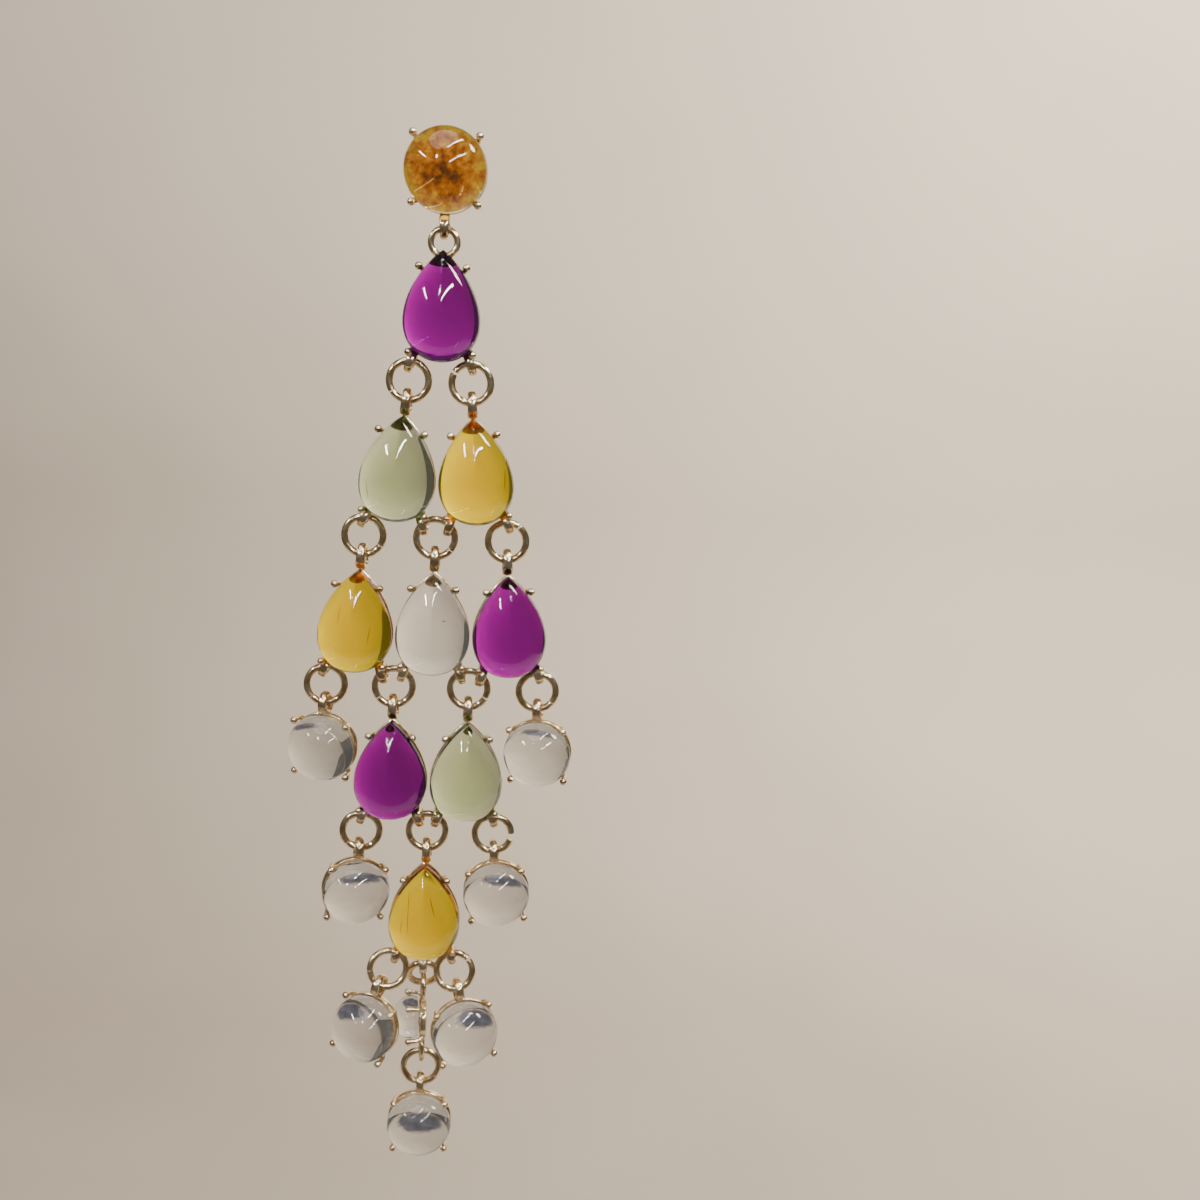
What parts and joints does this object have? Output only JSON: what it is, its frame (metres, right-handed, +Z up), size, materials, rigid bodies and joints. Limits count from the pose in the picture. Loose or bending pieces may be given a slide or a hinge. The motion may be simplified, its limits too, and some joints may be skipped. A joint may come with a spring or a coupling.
{
  "type": "chandelier earring",
  "caption": "Chandelier earring: a round claw-set stud on an ear post carries tiers of pear and round cabochons that widen, then narrow to a point, linked by jump rings.",
  "frame": {"origin": "on the stud's back plate, where the ear post leaves it", "axes": "+Z up as the earring hangs, +Y back along the ear post, the stones face -Y"},
  "size_m": [0.0387, 0.0192, 0.143],
  "materials": {
    "plated_metal": "polished champagne gold plate",
    "resin_purple": "clear gloss resin",
    "resin_yellow": "clear gloss resin",
    "resin_green": "clear gloss resin",
    "resin_clear": "clear gloss resin",
    "resin_amber": "mottled gloss resin"
  },
  "bodies": {
    "stud": {"stud_stone": "resin_amber", "stud_setting": "plated_metal"},
    "drop": {"stone_purple_1": "resin_purple", "setting_purple_1": "plated_metal", "stone_green_1": "resin_green", "setting_green_1": "plated_metal", "stone_yellow_1": "resin_yellow", "setting_yellow_1": "plated_metal", "stone_yellow_2": "resin_yellow", "setting_yellow_2": "plated_metal", "stone_clear_1": "resin_clear", "setting_clear_1": "plated_metal", "stone_purple_2": "resin_purple", "setting_purple_2": "plated_metal", "stone_round_1": "resin_clear", "setting_round_1": "plated_metal", "stone_purple_3": "resin_purple", "setting_purple_3": "plated_metal", "stone_green_2": "resin_green", "setting_green_2": "plated_metal", "stone_round_2": "resin_clear", "setting_round_2": "plated_metal", "stone_round_3": "resin_clear", "setting_round_3": "plated_metal", "stone_yellow_3": "resin_yellow", "setting_yellow_3": "plated_metal", "stone_round_4": "resin_clear", "setting_round_4": "plated_metal", "stone_round_5": "resin_clear", "setting_round_5": "plated_metal", "stone_round_6": "resin_clear", "setting_round_6": "plated_metal", "stone_round_7": "resin_clear", "setting_round_7": "plated_metal", "stone_round_8": "resin_clear", "setting_round_8": "plated_metal", "jump_ring_1_left": "plated_metal", "jump_ring_1_right": "plated_metal", "jump_ring_2_left": "plated_metal", "jump_ring_2_middle": "plated_metal", "jump_ring_2_right": "plated_metal", "jump_ring_3_left": "plated_metal", "jump_ring_3_mid_left": "plated_metal", "jump_ring_3_mid_right": "plated_metal", "jump_ring_3_right": "plated_metal", "jump_ring_4_left": "plated_metal", "jump_ring_4_middle": "plated_metal", "jump_ring_4_right": "plated_metal", "jump_ring_5_left": "plated_metal", "jump_ring_5_middle": "plated_metal", "jump_ring_5_right": "plated_metal", "jump_ring_6": "plated_metal"}
  },
  "joints": [
    {"name": "drop_swing", "type": "hinge", "parent": "stud", "child": "drop", "pos_m": [0, -0.00085, -0.00692], "axis": [1, 0, 0], "range_deg": [-60, 60]}
  ]
}
